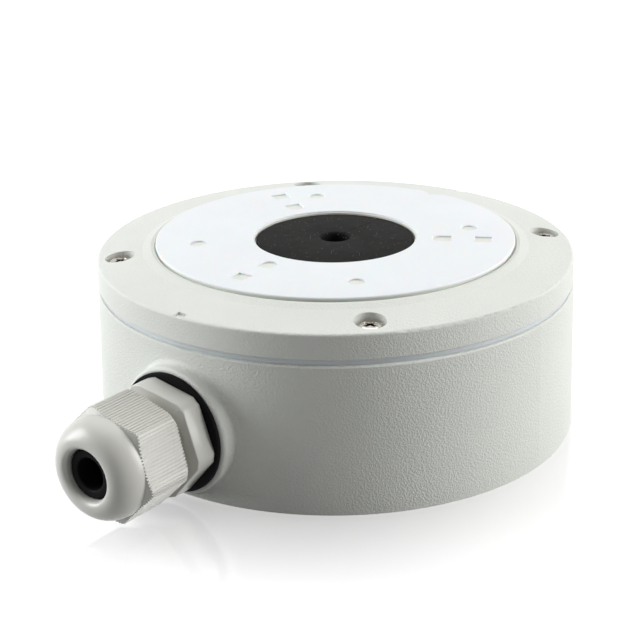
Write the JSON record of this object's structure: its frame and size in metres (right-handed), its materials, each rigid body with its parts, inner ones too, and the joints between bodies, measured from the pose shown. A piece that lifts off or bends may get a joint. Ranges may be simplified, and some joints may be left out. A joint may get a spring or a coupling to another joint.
{
  "type": "camera junction box",
  "caption": "Round die-cast junction box for a security camera, with a screwed lid, white camera pad, rubber cable grommet and side cable gland.",
  "frame": {"origin": "centre of the housing's flat wall face", "axes": "+Z out of the wall towards the camera, -Y along the side cable gland, +X to the right"},
  "size_m": [0.137, 0.1723, 0.0533],
  "materials": {
    "housing_coat": "die-cast aluminium alloy under a pale grey powder coat with a fine leather-like texture",
    "lid_coat": "die-cast aluminium alloy under the same powder coat, smoother on top",
    "silicone": "translucent bluish grey silicone sheet",
    "pad_foam": "cool white closed-cell sheet, matt",
    "grommet_rubber": "dull black rubber with fine specks of dust",
    "plug_rubber": "dull black rubber",
    "gland_nylon": "light warm grey nylon, glossy",
    "gland_rubber": "black rubber",
    "screw_steel": "bright nickel-plated steel",
    "retainer_nylon": "natural nylon"
  },
  "bodies": {
    "base": {"base_housing": "housing_coat", "lid_gasket": "silicone", "gland_washer": "gland_rubber", "gland_body": "gland_nylon", "rear_entry_plug": "plug_rubber", "earth_washer": "screw_steel", "earth_screw": "screw_steel"},
    "lid": {"lid": "lid_coat", "mounting_pad": "pad_foam", "cable_grommet": "grommet_rubber", "lid_screw_1": "screw_steel", "lid_screw_2": "screw_steel", "lid_screw_3": "screw_steel", "lid_screw_4": "screw_steel", "screw_retainer_1": "retainer_nylon", "screw_retainer_2": "retainer_nylon", "screw_retainer_3": "retainer_nylon", "screw_retainer_4": "retainer_nylon"},
    "gland_seal": {"gland_seal": "gland_rubber"},
    "gland_nut": {"gland_nut": "gland_nylon"}
  },
  "joints": [
    {"name": "lid_lift", "type": "slide", "parent": "base", "child": "lid", "axis": [0, 0, 1], "range_m": [0, 0.08]},
    {"name": "gland_nut_travel", "type": "slide", "parent": "base", "child": "gland_seal", "axis": [0, -1, 0], "range_m": [0, 0.00755]},
    {"name": "gland_nut_turn", "type": "hinge", "parent": "gland_seal", "child": "gland_nut", "pos_m": [0, -0.1038, 0.019], "axis": [0, -1, 0], "range_deg": [0, 1800]}
  ],
  "couplings": [
    {"joint": "gland_nut_travel", "follows": "gland_nut_turn", "m_per_rad": 0.00023873}
  ]
}
